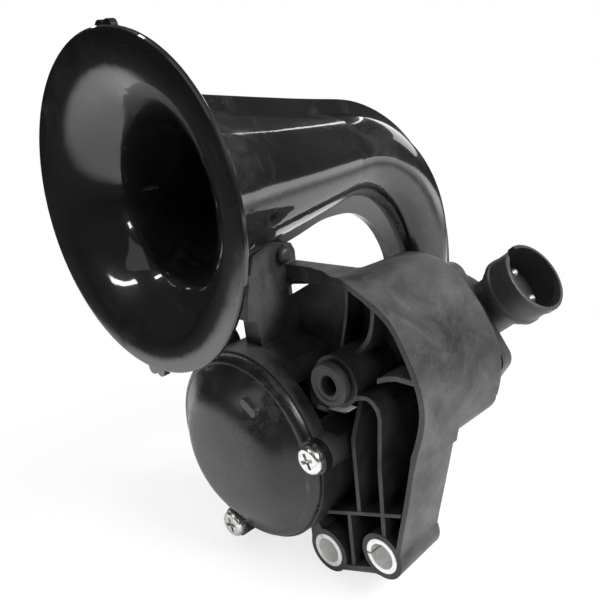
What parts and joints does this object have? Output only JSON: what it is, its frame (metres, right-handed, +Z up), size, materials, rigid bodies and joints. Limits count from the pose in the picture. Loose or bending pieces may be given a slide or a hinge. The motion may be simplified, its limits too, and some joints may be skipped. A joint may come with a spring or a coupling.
{
  "type": "car air horn",
  "caption": "Compressed-air horn: curled bell trumpet over a round diaphragm head on a ribbed bracket, with push-in air inlet, magnet valve and bayonet plug socket.",
  "frame": {"origin": "midway between the two mounting sleeves, on the front face of the foot's bosses", "axes": "+Z up, from the feet towards the trumpet; -Y forwards, the way the bell sounds and the air inlet opens; +X to the right seen from the front"},
  "size_m": [0.1302, 0.1532, 0.1838],
  "materials": {
    "trumpet": "high gloss black moulding",
    "housing": "matt dark grey glass-filled moulding",
    "cap": "semi-gloss black moulding",
    "cover": "satin dark grey moulding",
    "fitting": "satin black moulding",
    "zinc": "bright zinc plated steel",
    "spring_steel": "plain stainless spring steel",
    "contact": "tin plated brass",
    "copper": "enamelled copper wire",
    "seal": "black rubber"
  },
  "bodies": {
    "root": {"trumpet_left_half": "trumpet", "trumpet_right_half": "trumpet", "bracket_housing": "housing", "sound_head_cap": "cap", "cap_screws": "zinc", "diaphragm": "spring_steel", "diaphragm_ring": "seal", "throat_seal": "seal", "trumpet_retaining_pin": "housing", "inlet_fitting": "fitting", "inlet_grip_ring": "spring_steel", "inlet_oring": "seal", "inlet_spacer_ring": "fitting", "guide_tube_seal": "seal", "armature_guide_tube": "spring_steel", "fixed_core": "zinc", "plunger_spring": "spring_steel", "coil_bobbin": "fitting", "coil_winding": "copper", "solenoid_yoke": "zinc", "rear_cover": "cover", "cover_gasket": "seal", "cover_screws": "zinc", "mount_sleeve_left": "zinc", "mount_sleeve_right": "zinc", "contact_pin_upper": "contact", "contact_pin_lower": "contact"},
    "plunger": {"plunger": "zinc", "plunger_seal": "seal"}
  },
  "joints": [
    {"name": "plunger_slide", "type": "slide", "parent": "root", "child": "plunger", "axis": [0, 1, 0], "range_m": [0, 0.001], "stiffness_N_per_m": 400, "deforming": ["plunger_spring"]}
  ]
}
